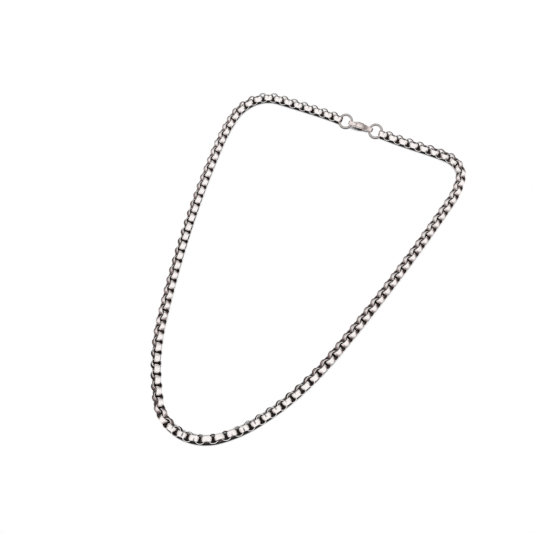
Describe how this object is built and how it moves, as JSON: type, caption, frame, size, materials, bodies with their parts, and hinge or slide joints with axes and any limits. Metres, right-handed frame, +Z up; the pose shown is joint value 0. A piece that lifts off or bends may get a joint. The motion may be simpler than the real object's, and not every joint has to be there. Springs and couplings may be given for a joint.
{
  "type": "rolo chain necklace",
  "caption": "Round-link rolo chain necklace in polished steel, laid flat in one closed loop, with a wire ring at each end and a lobster clasp with a sprung lever between them.",
  "frame": {"origin": "middle of the laid-out loop's bounding box, on the table's surface", "axes": "+Z up from the table, +Y from the bottom of the loop towards the clasp, +X along the clasp from the ring in its eye to the ring in its claw"},
  "size_m": [0.1355, 0.2088, 0.0062],
  "materials": {
    "chain_steel": "polished, with a duller inside face on each link",
    "ring_steel": "polished drawn wire",
    "clasp_steel": "cast and polished, slightly warm",
    "lever_steel": "stamped and polished"
  },
  "bodies": {
    "necklace": {"chain": "chain_steel", "ring_tail": "ring_steel", "ring_claw": "ring_steel", "clasp_body": "clasp_steel", "clasp_rivet": "ring_steel"},
    "lever": {"clasp_lever": "lever_steel"}
  },
  "joints": [
    {"name": "lever_pivot", "type": "hinge", "parent": "necklace", "child": "lever", "pos_m": [0.0007, 0.10045, 0.00345], "axis": [-0.0016, 0.7986, 0.6018], "range_deg": [0, 22], "stiffness_Nm_per_rad": 0.002, "springref_deg": -17.19}
  ]
}
